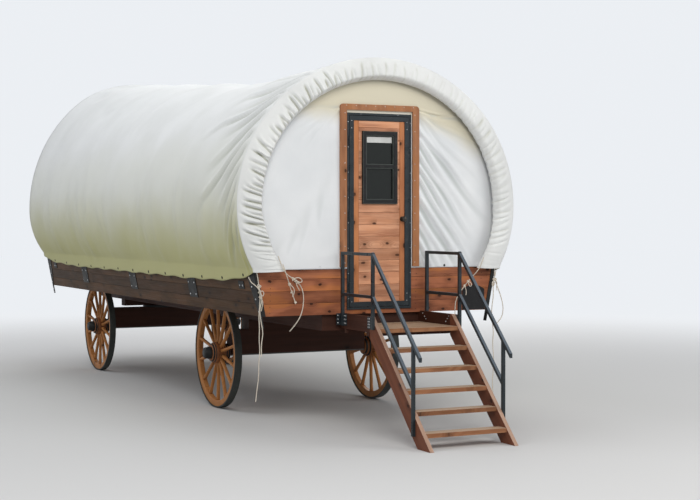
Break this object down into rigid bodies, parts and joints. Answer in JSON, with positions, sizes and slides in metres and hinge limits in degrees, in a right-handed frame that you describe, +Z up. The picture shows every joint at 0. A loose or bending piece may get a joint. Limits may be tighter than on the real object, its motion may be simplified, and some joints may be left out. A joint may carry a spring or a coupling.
{
  "type": "covered wagon",
  "caption": "Plank-sided covered wagon: canvas over bent bows, spoked wheels, a turning front axle, a framed door with a window, and railed stairs.",
  "frame": {"origin": "on the floor, below the middle of the whole outline", "axes": "+Z up; the wagon runs along Y, with the door and stairs towards -Y and the steered axle and drawbar jaws towards +Y; left is -X"},
  "size_m": [3.06, 9.305, 3.8698],
  "materials": {
    "box_wood": "stained red-brown, matt",
    "side_wood": "stained brown, weathered",
    "floor_wood": "raw timber",
    "gear_wood": "stained dark brown",
    "stair_wood": "stained red-brown, worn",
    "wheel_wood": "oiled honey brown",
    "door_wood": "stained red-brown",
    "bow_wood": "raw bent timber",
    "canvas": "coated white canvas",
    "rail_steel": "dark blue-grey paint",
    "door_steel": "dark blue-grey paint",
    "dark_iron": "dark worn paint",
    "knob_metal": "satin",
    "plate_black": "black, satin",
    "window_glass": "clear",
    "rope": "twisted off-white cord"
  },
  "bodies": {
    "wagon": {"floor_deck": "floor_wood", "floor_joists": "floor_wood", "floor_sills": "floor_wood", "sill_bearers": "floor_wood", "side_boards_left": "side_wood", "side_boards_right": "side_wood", "rear_end_boards": "box_wood", "front_end_boards": "box_wood", "corner_irons": "dark_iron", "side_irons": "dark_iron", "blank_plaque": "plate_black", "cover": "canvas", "rear_hem": "canvas", "front_hem": "canvas", "rear_wall_canvas": "canvas", "front_wall_canvas": "canvas", "bows": "bow_wood", "door_frame": "door_steel", "door_trim": "door_wood", "landing_rims": "stair_wood", "landing_bearers": "floor_wood", "landing_boards": "stair_wood", "stair_stringers": "stair_wood", "stair_treads": "stair_wood", "rail_left": "rail_steel", "rail_right": "rail_steel", "rear_axle": "dark_iron", "rear_bolster": "gear_wood", "rear_riser": "gear_wood", "turntable_plate": "dark_iron", "turntable_riser": "gear_wood", "rope_left_corner": "rope", "rope_left_side": "rope", "rope_left_hem_short": "rope", "rope_left_hem": "rope", "rope_right_hem": "rope", "rope_right_loop": "rope", "rope_right_tail": "rope"},
    "door": {"door_leaf_steel": "door_steel", "door_leaf_boards": "door_wood", "window_frame": "door_steel", "window_glass": "window_glass", "door_knob": "knob_metal"},
    "steer_axle": {"front_axle": "dark_iron", "front_bolster": "gear_wood", "turntable_ring": "dark_iron", "hounds": "gear_wood", "drawbar_jaws": "dark_iron"},
    "wheel_rear_left": {"wheel_rear_left": "wheel_wood", "tyre_rear_left": "dark_iron"},
    "wheel_rear_right": {"wheel_rear_right": "wheel_wood", "tyre_rear_right": "dark_iron"},
    "wheel_front_left": {"wheel_front_left": "wheel_wood", "tyre_front_left": "dark_iron"},
    "wheel_front_right": {"wheel_front_right": "wheel_wood", "tyre_front_right": "dark_iron"}
  },
  "joints": [
    {"name": "door_hinge", "type": "hinge", "parent": "wagon", "child": "door", "pos_m": [-0.3225, -2.9805, 2.05], "axis": [0, 0, -1], "range_deg": [0, 90]},
    {"name": "steering", "type": "hinge", "parent": "wagon", "child": "steer_axle", "pos_m": [0, 3.1975, 0.82], "axis": [0, 0, 1], "range_deg": [-20, 20]},
    {"name": "wheel_rear_left_spin", "type": "hinge", "parent": "wagon", "child": "wheel_rear_left", "pos_m": [-0.9, -1.0525, 0.577], "axis": [1, 0, 0], "continuous": true},
    {"name": "wheel_rear_right_spin", "type": "hinge", "parent": "wagon", "child": "wheel_rear_right", "pos_m": [0.9, -1.0525, 0.577], "axis": [1, 0, 0], "continuous": true},
    {"name": "wheel_front_left_spin", "type": "hinge", "parent": "steer_axle", "child": "wheel_front_left", "pos_m": [-0.9, 3.1975, 0.577], "axis": [1, 0, 0], "continuous": true},
    {"name": "wheel_front_right_spin", "type": "hinge", "parent": "steer_axle", "child": "wheel_front_right", "pos_m": [0.9, 3.1975, 0.577], "axis": [1, 0, 0], "continuous": true}
  ]
}
